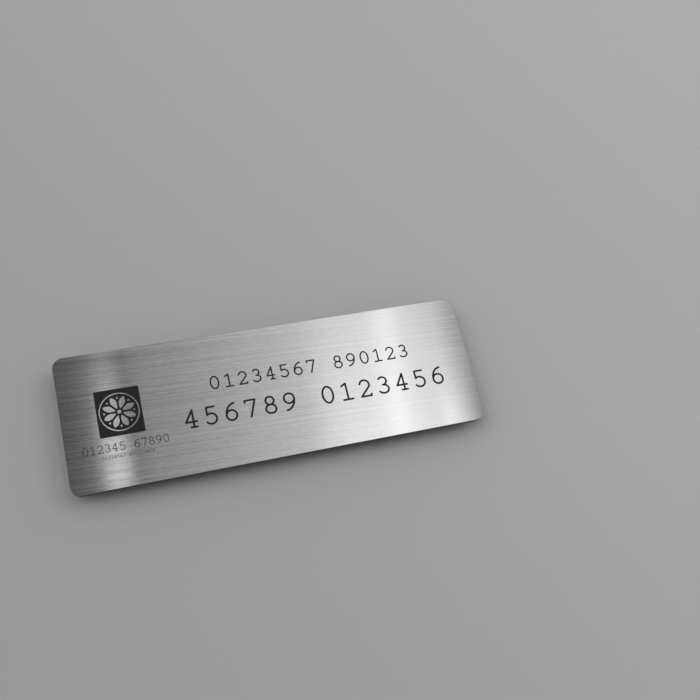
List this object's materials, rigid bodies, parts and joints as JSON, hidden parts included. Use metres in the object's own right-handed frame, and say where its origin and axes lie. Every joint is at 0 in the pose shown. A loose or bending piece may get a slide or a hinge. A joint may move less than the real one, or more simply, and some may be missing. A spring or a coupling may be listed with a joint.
{
  "type": "name badge",
  "caption": "Oblong brushed steel name badge with round corners, engraved with digits and a plain rosette, glued to a flat magnetic bar that holds it on cloth.",
  "frame": {"origin": "on the underside of the back bar, below the middle of the plate, which is the middle of the part's lowest face", "axes": "+X along the plate towards the end of the digits, +Y towards the plate's top edge, +Z out of the plate's face"},
  "size_m": [0.076, 0.025, 0.0035],
  "materials": {
    "brushed_plate": "stainless steel sheet, line grained along its length, edges and back dull",
    "fastener_bar": "satin nickel plate over steel",
    "black_fill": "black enamel paint baked into the engraved lines, satin"
  },
  "bodies": {
    "root": {"face_plate": "brushed_plate", "back_bar": "fastener_bar"}
  },
  "joints": []
}
